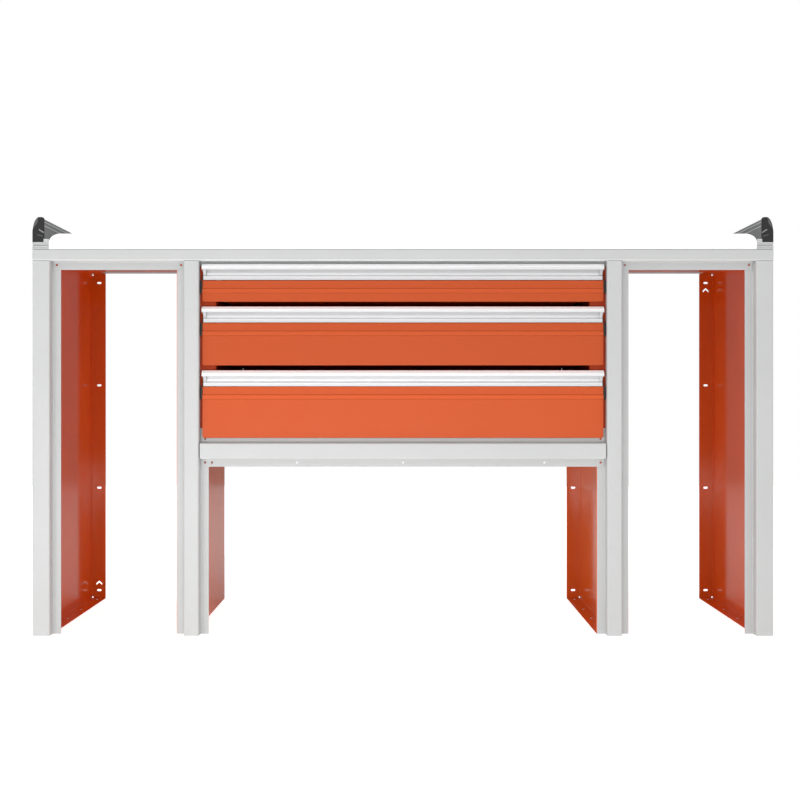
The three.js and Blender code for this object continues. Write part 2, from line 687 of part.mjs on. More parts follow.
// A block that closes one end of the finger groove.
function handleEnd(bottom) {
  const wall = HANDLE_SHEET / 2 + GAP;
  const outline = new THREE.Shape(
    [
      [GROOVE_BACK + wall, GROOVE_FLOOR + wall],
      [GROOVE_BACK + wall, NOSE_TOP],
      [HANDLE_NOSE / 3, NOSE_TOP],
      [HANDLE_NOSE - 2 * wall, NOSE_BOTTOM],
      [HANDLE_LIP, GROOVE_FLOOR + wall],
    ].map(([forward, up]) => new THREE.Vector2(DRAWER_SHEET_Y - forward, bottom + up)),
  );
  const end = -DRAWER_FRONT_LENGTH / 2 + HANDLE_END_SETBACK;
  return alongX(outline, end, end + HANDLE_END_LENGTH);
}

function drawerBox(bottom, top) {
  const half = BOX_LENGTH / 2;
  const back = BOX_FRONT + BOX_DEPTH;
  const outside = block([-half, half], [BOX_FRONT, back], [bottom, top]);
  const inside = block(
    [-half + SHEET, half - SHEET],
    [BOX_FRONT + SHEET, back - SHEET],
    [bottom + SHEET, top + CUT],
  );
  const holes = BOX_HOLE_XS.map((x) =>
    alongZ(roundHole(x, BOX_FRONT + BOX_HOLE_BACK, BOX_HOLE), bottom - CUT, bottom + SHEET + CUT),
  );
  return cutBy(outside, [inside, ...holes]);
}

// Telescopic runners: channels inside each other, drawn from the wall (u = 0) to the box.
const RUNNER_CHANNELS = {
  outer: { web: 0, tips: 10, halfHeight: RUNNER_HEIGHT / 2 },
  middle: { web: 4, tips: 15.5, halfHeight: 18 },
  inner: { web: RUNNER_WIDTH - SHEET, tips: 8.5, halfHeight: 13.5 },
};

function runnerChannel({ web, tips, halfHeight }, middleHeight) {
  const half = SHEET / 2;
  const path = [
    [tips, halfHeight - half],
    [web + half, halfHeight - half],
    [web + half, -halfHeight + half],
    [tips, -halfHeight + half],
  ].map(([u, v]) => [-WALL_X + u, middleHeight + v]);
  const front = BOX_FRONT + SHEET;
  return alongY(foldedSheet(path, { bend: 1, steps: 2 }), front, front + RUNNER_LENGTH);
}

function addDrawer(number, bottom, sheetHeight) {
  const sheetTop = bottom + sheetHeight;
  const boxTop = sheetTop + BOX_RISE;
  const drawer = `drawer_${number}`;
  addPiece(`${drawer}_front`, drawerSheet(bottom, sheetHeight), drawerOrangePaint);
  addPiece(`${drawer}_box`, drawerBox(bottom + BOX_LIFT, boxTop), panelOrangePaint);
  addPiece(`${drawer}_handle`, handle(sheetTop + GAP), handleAluminium);
  addPair(`${drawer}_handle_end`, handleEnd(sheetTop + GAP), greyPlastic);
  for (const [member, channel] of Object.entries(RUNNER_CHANNELS)) {
    const geometry = runnerChannel(channel, boxTop - RUNNER_BELOW_BOX_TOP);
    addPair(`${drawer}_runner_${member}`, geometry, zincSteel);
  }
}

function addDrawerUnit() {
  addPair("drawer_unit_wall", drawerUnitWall(), panelOrangePaint);
  addPiece("drawer_unit_floor", drawerUnitFloor(), lightGreyPaint);
  addPiece("drawer_unit_back", drawerUnitBack(), panelOrangePaint);
  let bottom = LOWEST_DRAWER_BOTTOM;
  for (let number = DRAWER_SHEET_HEIGHTS.length; number >= 1; number -= 1) {
    const sheetHeight = DRAWER_SHEET_HEIGHTS[number - 1];
    addDrawer(number, bottom, sheetHeight);
    bottom += sheetHeight + HANDLE_HEIGHT + DRAWER_GAP;
  }
}

addSidePanels();
addPostsAndBeams();
addWorktopAndRails();
addDrawerUnit();

export default bench;
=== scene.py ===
"""Looks for the steel workbench with three drawers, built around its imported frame.

Everything is in metres in the row frame: +X to the right, -Y to the front, +Z up.
Sizes are written in millimetres times MM.
"""

import json
import math

import bmesh
import bpy
from mathutils import Matrix, Vector


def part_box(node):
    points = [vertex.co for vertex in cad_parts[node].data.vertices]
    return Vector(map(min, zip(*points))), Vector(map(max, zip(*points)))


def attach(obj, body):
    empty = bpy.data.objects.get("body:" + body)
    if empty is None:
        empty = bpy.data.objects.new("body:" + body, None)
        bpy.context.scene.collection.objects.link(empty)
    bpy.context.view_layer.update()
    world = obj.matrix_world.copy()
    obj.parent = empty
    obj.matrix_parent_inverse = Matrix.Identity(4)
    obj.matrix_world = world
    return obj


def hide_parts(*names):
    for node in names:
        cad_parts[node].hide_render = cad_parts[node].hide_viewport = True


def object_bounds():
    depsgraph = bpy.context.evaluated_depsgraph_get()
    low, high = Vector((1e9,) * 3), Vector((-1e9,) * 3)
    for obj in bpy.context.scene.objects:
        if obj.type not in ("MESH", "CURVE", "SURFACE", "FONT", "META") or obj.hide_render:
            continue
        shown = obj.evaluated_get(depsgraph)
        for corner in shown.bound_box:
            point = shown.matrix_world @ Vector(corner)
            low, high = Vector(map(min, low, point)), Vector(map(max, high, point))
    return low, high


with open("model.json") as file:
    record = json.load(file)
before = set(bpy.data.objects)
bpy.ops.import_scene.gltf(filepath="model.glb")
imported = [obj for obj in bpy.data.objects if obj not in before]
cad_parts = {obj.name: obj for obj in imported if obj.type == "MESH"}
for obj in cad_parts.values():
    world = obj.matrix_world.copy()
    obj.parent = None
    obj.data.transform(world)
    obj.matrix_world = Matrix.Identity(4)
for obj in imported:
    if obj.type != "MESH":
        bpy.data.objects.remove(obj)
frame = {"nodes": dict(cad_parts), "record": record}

size_at_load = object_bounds()

MM = 0.001
GAP = 0.3 * MM  # between pieces that touch
SIDES = {"left": -1, "right": 1}
DRAWERS = ("drawer_1", "drawer_2", "drawer_3")

low, high = size_at_load
FRONT = low.y
BACK = high.y
END = high.x
TOP = high.z
WORKTOP_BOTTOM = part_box("worktop")[0].z


# ---------------------------------------------------------------- materials

# A mix node has sockets of one name for each kind of data; these are its colour ones.
MIX_COLOUR_A = 6
MIX_COLOUR_B = 7
MIX_COLOUR_RESULT = 2


class Finish:
    """A material and short calls for the nodes of its tree."""

    def __init__(self, name, roughness, metallic=0.0, specular=0.5):
        self.material = bpy.data.materials.new(name)
        self.material.use_nodes = True
        self.tree = self.material.node_tree
        self.shader = self.tree.nodes["Principled BSDF"]
        self.set("Roughness", roughness)
        self.set("Metallic", metallic)
        self.set("IOR", 1.5)
        self.set("Specular IOR Level", specular)
        self.place = self.node("ShaderNodeTexCoord").outputs["Object"]

    def node(self, kind, **settings):
        made = self.tree.nodes.new(kind)
        for key, value in settings.items():
            setattr(made, key, value)
        return made

    def link(self, output, target):
        self.tree.links.new(output, target)

    def set(self, name, value):
        """Gives one of the shader's inputs a number, or links it to a node's output."""
        if isinstance(value, bpy.types.NodeSocket):
            self.link(value, self.shader.inputs[name])
        else:
            self.shader.inputs[name].default_value = value

    def noise(self, scale, stretch=(1, 1, 1), detail=3.0):
        """Soft random spots, `scale` of them in a metre, drawn out along the axes by `stretch`."""
        squeeze = self.node("ShaderNodeVectorMath", operation="DIVIDE")
        squeeze.inputs[1].default_value = stretch
        self.link(self.place, squeeze.inputs[0])
        spots = self.node("ShaderNodeTexNoise")
        spots.inputs["Scale"].default_value = scale
        spots.inputs["Detail"].default_value = detail
        self.link(squeeze.outputs[0], spots.inputs["Vector"])
        return spots.outputs["Fac"]

    def cells(self, scale):
        """Random crystal-like cells, `scale` of them in a metre."""
        crystals = self.node("ShaderNodeTexVoronoi")
        crystals.inputs["Scale"].default_value = scale
        self.link(self.place, crystals.inputs["Vector"])
        grey = self.node("ShaderNodeRGBToBW")
        self.link(crystals.outputs["Color"], grey.inputs[0])
        return grey.outputs[0]

    def distance(self, axis):
        """How far the shaded point lies along an axis of the row frame, in metres."""
        split = self.node("ShaderNodeSeparateXYZ")
        self.link(self.place, split.inputs[0])
        return split.outputs[axis]

    def spread(self, value, start, stop, to_start, to_stop):
        """`value` from start to stop turned into a number from to_start to to_stop."""
        scale = self.node("ShaderNodeMapRange")
        self.link(value, scale.inputs["Value"])
        for name, number in (
            ("From Min", start),
            ("From Max", stop),
            ("To Min", to_start),
            ("To Max", to_stop),
        ):
            scale.inputs[name].default_value = number
        return scale.outputs["Result"]

    def strip(self, bottom, top, blur=0.5 * MM):
        """1 between two heights and 0 above and below them."""
        low_edge = self.spread(self.distance("Z"), bottom - blur, bottom + blur, 0, 1)
        high_edge = self.spread(self.distance("Z"), top - blur, top + blur, 1, 0)
        return self.times(low_edge, high_edge)

    def times(self, a, b):
        """The product of two outputs."""
        product = self.node("ShaderNodeMath", operation="MULTIPLY")
        self.link(a, product.inputs[0])
        self.link(b, product.inputs[1])
        return product.outputs[0]

    def mix(self, share, first, second):
        """A colour between two colours, each an RGB triple or an output."""
        blend = self.node("ShaderNodeMix", data_type="RGBA")
        self.link(share, blend.inputs["Factor"])
        for socket, colour in ((MIX_COLOUR_A, first), (MIX_COLOUR_B, second)):
            if isinstance(colour, bpy.types.NodeSocket):
                self.link(colour, blend.inputs[socket])
            else:
                blend.inputs[socket].default_value = (*colour, 1.0)
        return blend.outputs[MIX_COLOUR_RESULT]

    def bump(self, relief, depth, below=None):
        """Raises the surface by `relief`, at most `depth` metres, over the bump `below`."""
        raised = self.node("ShaderNodeBump")
        raised.inputs["Distance"].default_value = depth
        self.link(relief, raised.inputs["Height"])
        if below is not None:
            self.link(below, raised.inputs["Normal"])
        return raised.outputs["Normal"]


DUST_COLOUR = (0.55, 0.53, 0.5)
DUST_HEIGHT = 0.12
PEEL_DEPTH = 0.04 * MM
WAVE_DEPTH = 0.4 * MM


def shade(colour, factor):
    """The colour made lighter or darker by a factor."""
    return tuple(channel * factor for channel in colour)


def powder_coat(name, colour, roughness, specular=0.5, bands=()):
    """Satin paint with a fine orange-peel surface, slight cloudiness, rubbed patches and dust low down.

    `bands` are (bottom, top, factor): heights between which the colour is lighter or darker, as painted
    light and shade.
    """
    finish = Finish(name, roughness, specular=specular)
    clouds = finish.noise(4, detail=2)
    tone = finish.mix(
        finish.spread(clouds, 0.35, 0.65, 0, 1), shade(colour, 0.985), shade(colour, 1.015)
    )
    rubbed = finish.spread(finish.noise(55, stretch=(6, 2, 1), detail=6), 0.62, 0.78, 0, 0.35)
    wear_and_painted_light = finish.mix(rubbed, tone, shade(colour, 0.94))
    # Bands of painted light and shade: the colour lighter or darker between two heights.
    for bottom, top, factor in bands:
        wear_and_painted_light = finish.mix(finish.strip(bottom, top), wear_and_painted_light, shade(colour, factor))
    dust = finish.times(
        finish.spread(finish.distance("Z"), 0.0, DUST_HEIGHT, 0.35, 0),
        finish.spread(finish.noise(40, detail=5), 0.4, 0.75, 0, 1),
    )
    finish.set("Base Color", finish.mix(dust, wear_and_painted_light, DUST_COLOUR))
    finish.set("Roughness", finish.spread(finish.noise(18), 0.3, 0.7, roughness - 0.06, roughness + 0.07))
    peel = finish.bump(finish.noise(620, detail=2), PEEL_DEPTH)
    finish.set("Normal", finish.bump(finish.noise(9, detail=1), WAVE_DEPTH, below=peel))
    return finish.material


def gloss_paint(name, colour, roughness, specular):
    """Smooth, shiny paint with faint waviness and fine hairline marks, and painted shade on the rear
    flanges.
    """
    finish = Finish(name, roughness, specular=specular)
    clouds = finish.spread(finish.noise(5, detail=2), 0.35, 0.65, 0, 1)
    tone = finish.mix(clouds, shade(colour, 0.97), shade(colour, 1.03))
    # Painted shade: the last millimetres towards the back, on the rear flanges, are darker.
    painted_back_shade = finish.spread(finish.distance("Y"), BACK - 3 * MM, BACK - 2 * MM, 0, 1)
    tone = finish.mix(painted_back_shade, tone, shade(colour, 0.78))
    hairlines = finish.spread(finish.noise(120, stretch=(30, 30, 0.6), detail=4), 0.66, 0.8, 0, 0.3)
    finish.set("Base Color", finish.mix(hairlines, tone, shade(colour, 0.85)))
    finish.set("Roughness", finish.spread(finish.noise(30), 0.3, 0.7, roughness * 0.75, roughness * 1.4))
    peel = finish.bump(finish.noise(420, detail=1), 0.3 * PEEL_DEPTH)
    finish.set("Normal", finish.bump(finish.noise(7, detail=0), 0.5 * WAVE_DEPTH, below=peel))
    return finish.material


def laminate(name, colour):
    """White board facing with a very fine pearl grain and a few dull smudges."""
    finish = Finish(name, 0.42)
    grain = finish.spread(finish.noise(900, detail=2), 0.3, 0.7, 0, 1)
    smudges = finish.spread(finish.noise(14, stretch=(3, 1, 1), detail=5), 0.58, 0.75, 0, 0.5)
    tone = finish.mix(grain, shade(colour, 0.985), colour)
    finish.set("Base Color", finish.mix(smudges, tone, shade(colour, 0.97)))
    finish.set("Roughness", finish.spread(smudges, 0, 0.5, 0.38, 0.52))
    finish.set("Normal", finish.bump(grain, 0.015 * MM))
    return finish.material


def anodised(name, colour, roughness, along, metallic, bands=()):
    """Extruded aluminium with die lines and fine scratches along its length, and bands of painted light and
    shade as on paint.
    """
    stretch = tuple(400 if axis == along else 1 for axis in "xyz")
    finish = Finish(name, roughness, metallic=metallic)
    lines = finish.spread(finish.noise(1500, stretch=stretch, detail=3), 0.3, 0.7, 0, 1)
    stains = finish.spread(finish.noise(22, detail=4), 0.45, 0.7, 0, 0.4)
    tone = finish.mix(lines, shade(colour, 0.95), shade(colour, 1.04))
    tone = finish.mix(stains, tone, shade(colour, 0.93))
    # Bands of painted light and shade between two heights.
    for bottom, top, factor in bands:
        tone = finish.mix(finish.strip(bottom, top), tone, shade(colour, factor))
    finish.set("Base Color", tone)
    finish.set("Roughness", finish.spread(lines, 0, 1, roughness - 0.05, roughness + 0.08))
    finish.set("Normal", finish.bump(lines, 0.01 * MM))
    return finish.material


def grained_plastic(name, colour, roughness, specular=0.5):
    """Moulded plastic with an etched grain and shiny spots where hands have polished it."""
    finish = Finish(name, roughness, specular=specular)
    grain = finish.noise(1400, detail=2)
    clouds = finish.spread(finish.noise(60, detail=4), 0.4, 0.7, 0, 1)
    finish.set("Base Color", finish.mix(clouds, shade(colour, 0.9), shade(colour, 1.12)))
    finish.set("Roughness", finish.spread(clouds, 0, 1, roughness + 0.08, roughness - 0.08))
    finish.set("Normal", finish.bump(grain, 0.06 * MM))
    return finish.material


def zinc_plate(name, colour):
    """Zinc-plated steel with faint spangle, dull patches and rub marks along the slide."""
    finish = Finish(name, 0.34, metallic=0.9)
    spangle = finish.cells(260)
    rubs = finish.spread(finish.noise(500, stretch=(1, 200, 1), detail=3), 0.5, 0.8, 0, 0.6)
    tone = finish.mix(spangle, shade(colour, 0.88), shade(colour, 1.1))
    finish.set("Base Color", finish.mix(rubs, tone, shade(colour, 1.25)))
    finish.set("Roughness", finish.spread(spangle, 0, 1, 0.28, 0.46))
    finish.set("Normal", finish.bump(finish.noise(300, detail=2), 0.02 * MM))
    return finish.material


# On a drawer front: the bead's top under the sheet's top, its height, the widths of the painted shadow lines
# beside it, and the height of the painted highlight along the sheet's top edge.
BEAD_TOP = 19.5 * MM
BEAD_HEIGHT = 9 * MM
BEAD_LINE = 1.6 * MM
EDGE_HIGHLIGHT = 2.4 * MM

# On a handle: how far the slope with its painted highlight, the nose and the hollow with its painted shade
# reach down from its top ...
HANDLE_SLOPE = 7.5 * MM
HANDLE_NOSE = 12.6 * MM
HANDLE_HOLLOW = 20.2 * MM
# ... and how far the painted shade on the lip and on its foot reaches up from its bottom.
HANDLE_LIP = 10 * MM
HANDLE_FOOT = 4.4 * MM

# On a front beam: its lower flange, the bend over it, and the bend under the worktop, both bends with
# painted highlights.
BEAM_FLANGE = 19 * MM
BEAM_BEND = 2.4 * MM
BEAM_TOP_BEND = 1.5 * MM

# On an end rail: its ridges above the underside of the worktop, with painted highlights on them and painted
# shadows beside them.
RIDGE_HEIGHTS = (52 * MM, 61 * MM)
RIDGE_WIDTH = 3.2 * MM
RIDGE_SHADOW = 1.5 * MM
BAND_MARGIN = 0.5 * MM


def drawer_painted_light():
    """Painted light on the drawer fronts: a painted highlight on each bead between painted shadow lines, a
    painted highlight along each top edge, and the whole lowest drawer lighter, as if lit more from below.
    """
    bands = []
    for drawer in DRAWERS:
        sheet_low, sheet_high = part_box(f"{drawer}_front")
        # Painted light: the whole lowest drawer lighter; a painted highlight along each top edge; painted
        # shadow lines round each bead and a painted highlight on it.
        tone = 1.13 if drawer == "drawer_3" else 1.0
        top = sheet_high.z - BEAD_TOP
        bottom = top - BEAD_HEIGHT
        bands += [
            (sheet_low.z - MM, sheet_high.z + MM, tone),
            (sheet_high.z - EDGE_HIGHLIGHT, sheet_high.z + MM, 1.4 * tone),
            (bottom - BEAD_LINE, top + BEAD_LINE, 0.9 * tone),
            (bottom, top, 1.1 * tone),
        ]
    return bands


def handle_painted_light():
    """Painted light on each handle: a painted highlight on the slope of its top, painted shade in the hollow
    under its nose, and painted shade on its lip, deeper on the lip's foot.
    """
    bands = []
    for drawer in DRAWERS:
        bottom, top = (corner.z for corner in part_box(f"{drawer}_handle"))
        # A painted highlight on the slope, painted shade in the hollow, on the lip and, darker, on the lip's
        # foot.
        bands += [
            (top - HANDLE_SLOPE, top + MM, 1.4),
            (top - HANDLE_HOLLOW, top - HANDLE_NOSE, 0.78),
            (bottom - MM, bottom + HANDLE_LIP, 0.9),
            (bottom - MM, bottom + HANDLE_FOOT, 0.78),
        ]
    return bands


def beam_painted_highlights():
    """Painted highlights on the bends along the edges of the two front beams, and on the top beam's bend
    under the worktop against the shade there.
    """
    bands = []
    # Painted highlights on the bend over each beam's lower flange, and on the bend under the worktop.
    for node, factor in (("top_front_beam", 1.3), ("lower_front_beam", 1.15)):
        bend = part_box(node)[0].z + BEAM_FLANGE
        bands.append((bend - BAND_MARGIN, bend + BEAM_BEND, factor))
    bands.append((WORKTOP_BOTTOM - BEAM_TOP_BEND, WORKTOP_BOTTOM + BAND_MARGIN, 1.3))
    return bands


def rail_painted_light():
    """Painted highlights on the two ridges along the inner side of an end rail, each between two painted
    shadows.
    """
    bands = []
    for height in RIDGE_HEIGHTS:
        bottom = WORKTOP_BOTTOM + height
        top = bottom + RIDGE_WIDTH
        # Painted shadows beside each ridge and a painted highlight on it.
        bands.append((bottom - RIDGE_SHADOW, top + RIDGE_SHADOW, 0.75))
        bands.append((bottom, top, 1.9))
    return bands


FRAME_GREY = (0.492, 0.499, 0.497)


def make_materials():
    """The finish of each slot of the record, and those of single nodes and small pieces."""
    return {
        "frame_paint": powder_coat("frame_paint", FRAME_GREY, 0.42, 0.3),
        # The beam paint is the frame grey with painted highlights on the beams' bends.
        "beam_paint_painted_highlights": powder_coat("beam_paint_painted_highlights", FRAME_GREY, 0.42, 0.3, beam_painted_highlights()),
        "panel_paint": gloss_paint("panel_paint", (0.76, 0.112, 0.011), 0.12, 0.33),
        # The drawer paint carries the painted light and shade of the drawer fronts.
        "drawer_paint": powder_coat("drawer_paint", (0.455, 0.067, 0.0125), 0.45, 0.25, drawer_painted_light()),
        # The wall paint is a darker copy of the orange, painted shade for the walls inside the drawer unit.
        "wall_paint_painted_shade": powder_coat("wall_paint_painted_shade", (0.30, 0.032, 0.008), 0.5, 0.1),
        "box_paint": powder_coat("box_paint", (0.62, 0.07, 0.006), 0.6, 0.0),
        "worktop_laminate": laminate("worktop_laminate", (0.93, 0.93, 0.92)),
        # The handle and rail aluminium carry painted highlights and painted shade.
        "handle_aluminium": anodised("handle_aluminium", (0.78, 0.78, 0.79), 0.36, "x", 0.6, handle_painted_light()),
        "rail_aluminium": anodised("rail_aluminium", (0.37, 0.38, 0.38), 0.4, "y", 0.7, rail_painted_light()),
        # The lighter plastic paints the highlight along the caps' shoulders, and is the low bars' own
        # plastic.
        "pale_plastic_and_painted_sheen": grained_plastic("pale_plastic_and_painted_sheen", (0.085, 0.085, 0.085), 0.4, 0.4),
        "clip_plastic": grained_plastic("clip_plastic", (0.30, 0.30, 0.30), 0.35),
        "cap_plastic": grained_plastic("cap_plastic", (0.020, 0.020, 0.021), 0.33, 0.3),
        "handle_end_plastic": grained_plastic("handle_end_plastic", (0.50, 0.51, 0.52), 0.5),
        "runner_steel": zinc_plate("runner_steel", (0.42, 0.43, 0.44)),
    }


MATERIALS = make_materials()


# ---------------------------------------------------------------- CAD nodes

SHARP = math.radians(35)
EDGE_WIDTHS = {"worktop": 0.4 * MM}
SHEET_EDGE = 0.12 * MM
# Nodes that wear another finish than their slot's: the front beams the frame grey with painted highlights on
# their bends, the drawer unit's walls and back a darker orange that paints the shade inside the unit, and
# the drawer boxes a paint of their own.
OTHER_PAINTS = {
    "top_front_beam": "beam_paint_painted_highlights",
    "lower_front_beam": "beam_paint_painted_highlights",
    "drawer_unit_wall_left": "wall_paint_painted_shade",
    "drawer_unit_wall_right": "wall_paint_painted_shade",
    "drawer_unit_back": "wall_paint_painted_shade",
    "drawer_1_box": "box_paint",
    "drawer_2_box": "box_paint",
    "drawer_3_box": "box_paint",
}


def smooth_shading_group():
    """A node group that shades faces smooth and keeps the edges over SHARP sharp."""
    group = bpy.data.node_groups.new("smooth_shading", "GeometryNodeTree")
    group.interface.new_socket("Geometry", in_out="INPUT", socket_type="NodeSocketGeometry")
    group.interface.new_socket("Geometry", in_out="OUTPUT", socket_type="NodeSocketGeometry")
    start = group.nodes.new("NodeGroupInput")
    end = group.nodes.new("NodeGroupOutput")
    faces = group.nodes.new("GeometryNodeSetShadeSmooth")
    edges = group.nodes.new("GeometryNodeSetShadeSmooth")
    edges.domain = "EDGE"
    angle = group.nodes.new("GeometryNodeInputMeshEdgeAngle")
    sharp = group.nodes.new("FunctionNodeCompare")
    sharp.operation = "GREATER_THAN"
    sharp.inputs[1].default_value = SHARP
    group.links.new(angle.outputs["Unsigned Angle"], sharp.inputs[0])
    group.links.new(start.outputs[0], faces.inputs["Geometry"])
    group.links.new(faces.outputs[0], edges.inputs["Geometry"])
    group.links.new(sharp.outputs["Result"], edges.inputs["Selection"])
    edges.inputs["Shade Smooth"].default_value = False
    group.links.new(edges.outputs[0], end.inputs[0])
    return group


SMOOTH_SHADING = smooth_shading_group()


def soften_edges(piece, width):
    """Rounds a piece's sharp edges a little and shades the rest smooth."""
    weld = piece.modifiers.new("weld", "WELD")
    weld.merge_threshold = 0.001 * MM
    flat = piece.modifiers.new("flat_faces", "DECIMATE")
    flat.decimate_type = "DISSOLVE"
    flat.angle_limit = math.radians(0.5)
    bevel = piece.modifiers.new("edges", "BEVEL")
    bevel.width = width
    bevel.segments = 2
    bevel.limit_method = "ANGLE"
    bevel.angle_limit = SHARP
    shading = piece.modifiers.new("shading", "NODES")
    shading.node_group = SMOOTH_SHADING
    normals = piece.modifiers.new("normals", "WEIGHTED_NORMAL")
    normals.keep_sharp = True


def finish_cad_nodes():
    """Gives every node of the frame its finish and its softened edges."""
    for subpart in frame["record"]["subparts"]:
        node = frame["nodes"][subpart["node"]]
        node.data.materials.clear()
        finish = OTHER_PAINTS.get(subpart["node"], subpart["material_slot"])
        node.data.materials.append(MATERIALS[finish])
        soften_edges(node, EDGE_WIDTHS.get(subpart["node"], SHEET_EDGE))


finish_cad_nodes()


# ---------------------------------------------------------------- shapes


def place(axis, a, b, along):
    """The point at (a, b) of an outline that is drawn across an axis, `along` metres along it."""
    return {"x": (along, a, b), "y": (a, along, b), "z": (a, b, along)}[axis]


def skin(shape, rings):
    """Joins rings of equally many vertices, and closes the first and the last with a face."""
    count = len(rings[0])
    for near, far in zip(rings, rings[1:]):
        for i in range(count):
            shape.faces.new((near[i - 1], near[i], far[i], far[i - 1]))
    shape.faces.new(rings[0])
    shape.faces.new(rings[-1])


def add_prism(shape, outline, axis, start, end):
    """Adds an outline of (a, b) points drawn out along an axis."""
    rings = [[shape.verts.new(place(axis, a, b, along)) for a, b in outline] for along in (start, end)]
    skin(shape, rings)


def rounded(corners, steps=4):
    """The outline through corners (a, b, radius), each rounded to its radius."""
    outline = []
    for i, (a, b, radius) in enumerate(corners):
        corner = Vector((a, b))
        back = (Vector(corners[i - 1][:2]) - corner).normalized()
        on = (Vector(corners[(i + 1) % len(corners)][:2]) - corner).normalized()
        half_angle = back.angle(on) / 2
        centre = corner + (back + on).normalized() * radius / math.sin(half_angle)
        reach = radius / math.tan(half_angle)
        start = corner + back * reach - centre
        end = corner + on * reach - centre
        for step in range(steps + 1):
            share = step / steps
            outline.append(centre + (start * (1 - share) + end * share).normalized() * radius)
    return outline


def rounded_box(a_range, b_range, radius):
    """The outline of a rectangle with rounded corners."""
    (a0, a1), (b0, b1) = sorted(a_range), sorted(b_range)
    return rounded([(a0, b0, radius), (a1, b0, radius), (a1, b1, radius), (a0, b1, radius)])


def add_dome(shape, foot, radius, rise):
    """Adds a low round dome that stands on its foot point."""
    sides = 20
    levels = 4
    rings = []
    for level in range(levels):
        angle = math.pi / 2 * level / levels
        ring_radius = radius * math.cos(angle)
        height = foot[2] + rise * math.sin(angle)
        ring = []
        for i in range(sides):
            turn = 2 * math.pi * i / sides
            x = foot[0] + ring_radius * math.cos(turn)
            y = foot[1] + ring_radius * math.sin(turn)
            ring.append(shape.verts.new((x, y, height)))
        rings.append(ring)
    skin(shape, rings)


def add_ball(shape, centre, radius):
    """Adds a small ball."""
    bmesh.ops.create_icosphere(shape, subdivisions=2, radius=radius, matrix=Matrix.Translation(centre))


def add_piece(name, shape, body, slot, edge, replaced=None, material=None):
    """Turns a finished shape into a piece that rides a body and wears its slot's finish."""
    bmesh.ops.recalc_face_normals(shape, faces=shape.faces)
    mesh = bpy.data.meshes.new(name)
    shape.to_mesh(mesh)
    shape.free()
    mesh.materials.append(MATERIALS[material or slot])
    piece = bpy.data.objects.new(name, mesh)
    bpy.context.scene.collection.objects.link(piece)
    soften_edges(piece, edge)
    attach(piece, body)
    if replaced:
        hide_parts(replaced)
    return piece


# ---------------------------------------------------------------- end caps and rail bases

# Depths are from the front of a cap; widths are from the end of the bench.
CAP_WIDTH = 26.8 * MM
CAP_PLATE = 4 * MM
CAP_PLUG = 14 * MM
CAP_LEAN = 14.5 * MM
CAP_FOOT_STEP = 1.2 * MM
CAP_EDGE = 0.4 * MM
CAP_CHAMFER = 7.5 * MM
SHOULDER_HEIGHT = 40 * MM
BASE_LEDGE = 15.5 * MM
BASE_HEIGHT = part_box("end_rail_base_left")[1].z - WORKTOP_BOTTOM
CAP_PLUG_WALL = 6.5 * MM
HIGH_BAR = ((15.5 * MM, WORKTOP_BOTTOM + 44.5 * MM), (25.5 * MM, WORKTOP_BOTTOM + 38 * MM))
LOW_BAR = ((12 * MM, WORKTOP_BOTTOM + 32.5 * MM), (23 * MM, WORKTOP_BOTTOM + 29.5 * MM))
BAR_RISE = 0.5 * MM


def cap_outline():
    """Points (distance from the bench's end, height, width of the round edge) round an end cap."""
    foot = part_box("end_cap_front_left")[0].z
    step = WORKTOP_BOTTOM + BASE_HEIGHT + GAP
    shoulder = WORKTOP_BOTTOM + SHOULDER_HEIGHT
    corner = 5 * MM
    outline = [
        (0, foot, CAP_EDGE),
        (CAP_WIDTH - CAP_FOOT_STEP, foot, CAP_EDGE),
        (CAP_WIDTH - CAP_FOOT_STEP, step, CAP_EDGE),
        (CAP_WIDTH, step, CAP_EDGE),
        (CAP_WIDTH, TOP - corner, CAP_EDGE),
    ]
    corner_steps = 4
    for i in range(1, corner_steps + 1):
        angle = math.pi / 2 * i / corner_steps
        outline.append(
            (CAP_WIDTH - corner * (1 - math.cos(angle)), TOP - corner * (1 - math.sin(angle)), CAP_EDGE)
        )
    lean_steps = 14
    for i in range(lean_steps + 1):
        share = i / lean_steps
        angle = math.pi / 2 * (1 + share)
        chamfer = CAP_CHAMFER * math.sin(math.pi * share) ** 1.5
        outline.append(
            (
                CAP_LEAN * (1 + math.cos(angle)),
                shoulder + (TOP - shoulder) * math.sin(angle),
                CAP_EDGE + chamfer,
            )
        )
    return outline


def inward(outline):
    """Unit vectors pointing into an outline at each of its points, which go round anticlockwise."""
    points = [Vector(point[:2]) for point in outline]
    arrows = []
    for i, point in enumerate(points):
        along = (points[(i + 1) % len(points)] - points[i - 1]).normalized()
        arrows.append(Vector((-along.y, along.x)))
    return arrows


def add_bar(shape, start, end, thickness, to_world):
    """Adds a low moulded bar with round ends and a narrower crown, which stands on a cap."""
    along = (Vector(end) - Vector(start)).normalized()
    across = Vector((-along.y, along.x)) * thickness / 2
    steps = 6
    rim = []
    for tip, turn in ((Vector(end), 0), (Vector(start), math.pi)):
        for i in range(steps + 1):
            angle = turn - math.pi / 2 + math.pi * i / steps
            rim.append(tip + along * thickness / 2 * math.cos(angle) + across * math.sin(angle))
    middle = (Vector(start) + Vector(end)) / 2
    crown = [middle + (point - middle) * 0.86 for point in rim]
    rings = [
        [shape.verts.new(to_world(*point, depth)) for point in ring]
        for ring, depth in ((rim, 1.5 * BAR_RISE), (rim, 0.4 * BAR_RISE), (crown, 0))
    ]
    skin(shape, rings)


def paint_shoulder_highlight(rings, outline):
    """Gives the wide part of a cap's round edge, between the given rings, its second material, a lighter
    plastic that paints the highlight along the shoulder.
    """
    highlight_width = 0.45 * CAP_CHAMFER
    for near, far in zip(rings, rings[1:]):
        for i, (_, _, edge) in enumerate(outline):
            if edge > highlight_width:
                corners = {near[i - 1], near[i], far[i], far[i - 1]}
                face = next(f for f in near[i].link_faces if set(f.verts) == corners)
                face.material_index = 1


